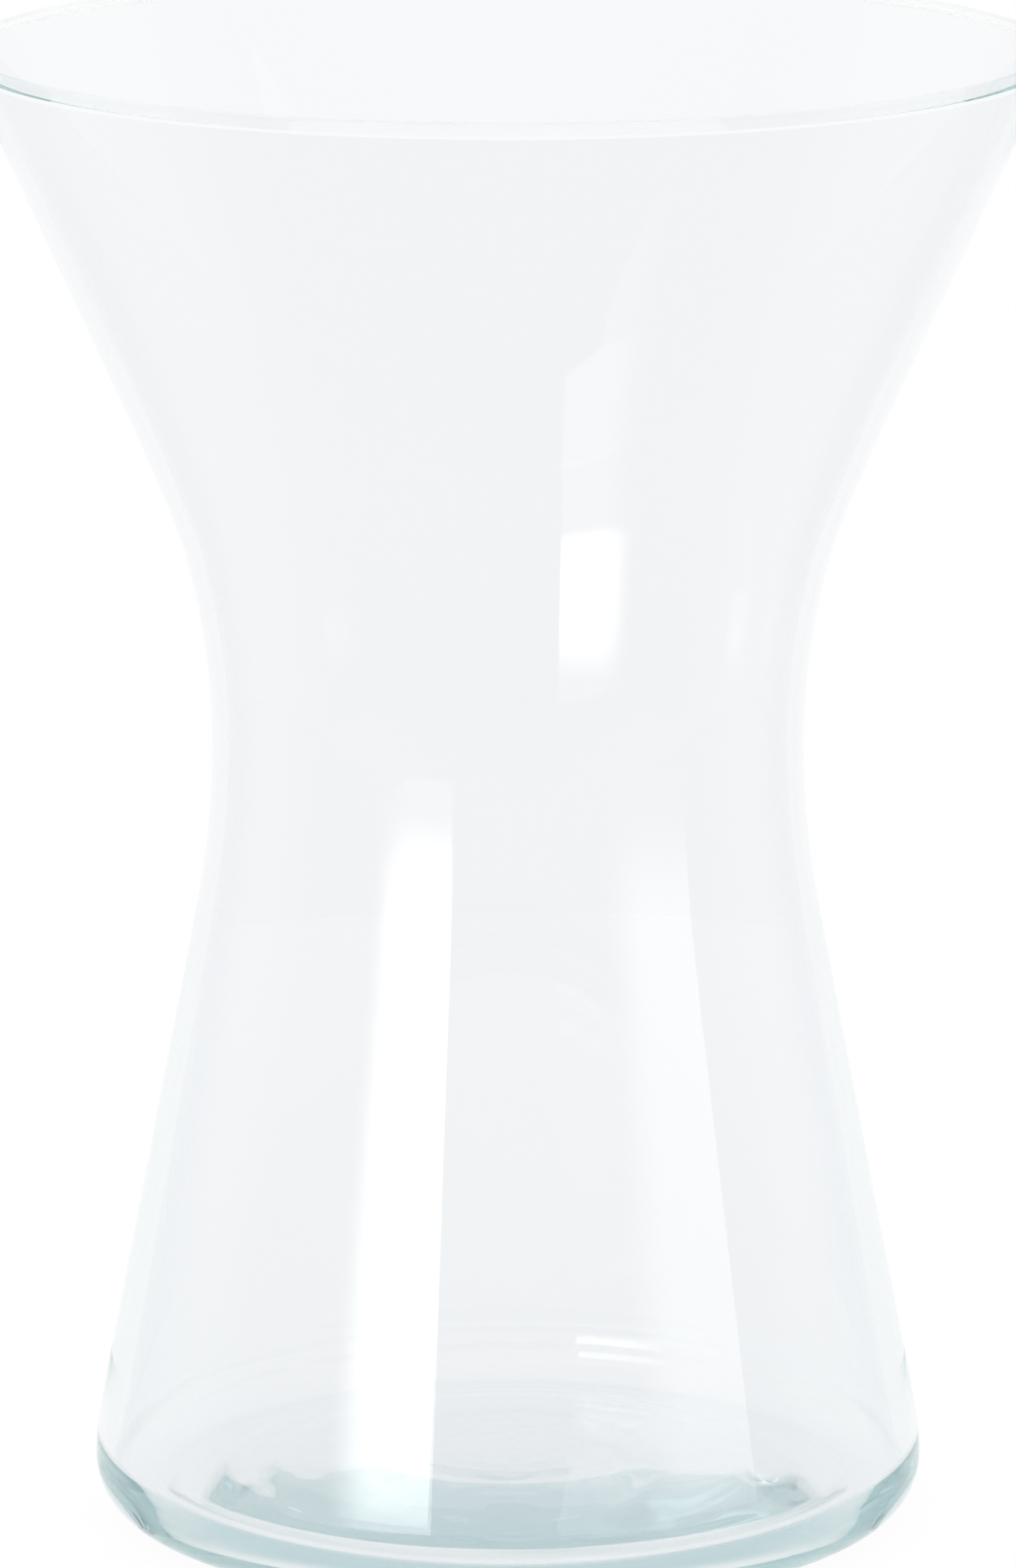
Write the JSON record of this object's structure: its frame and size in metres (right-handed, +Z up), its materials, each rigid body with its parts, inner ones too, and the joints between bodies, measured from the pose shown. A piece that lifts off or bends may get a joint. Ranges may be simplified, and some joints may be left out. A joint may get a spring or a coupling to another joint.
{
  "type": "hyacinth forcing vase",
  "caption": "Clear glass hyacinth vase: a flared bowl for the bulb, a narrow waist that carries it, and a wide conical water reservoir on a thick domed base.",
  "frame": {"origin": "centre of the flat ring that the vase stands on, on the vase's axis", "axes": "+Z up along the axis of the vase; +X and +Y are any two level directions, since the vase is round"},
  "size_m": [0.1014, 0.1014, 0.14],
  "materials": {
    "clear_glass": "clear polished soda-lime glass with a faint blue-green tint in the thick base"
  },
  "bodies": {
    "root": {"glass_vase": "clear_glass"}
  },
  "joints": []
}
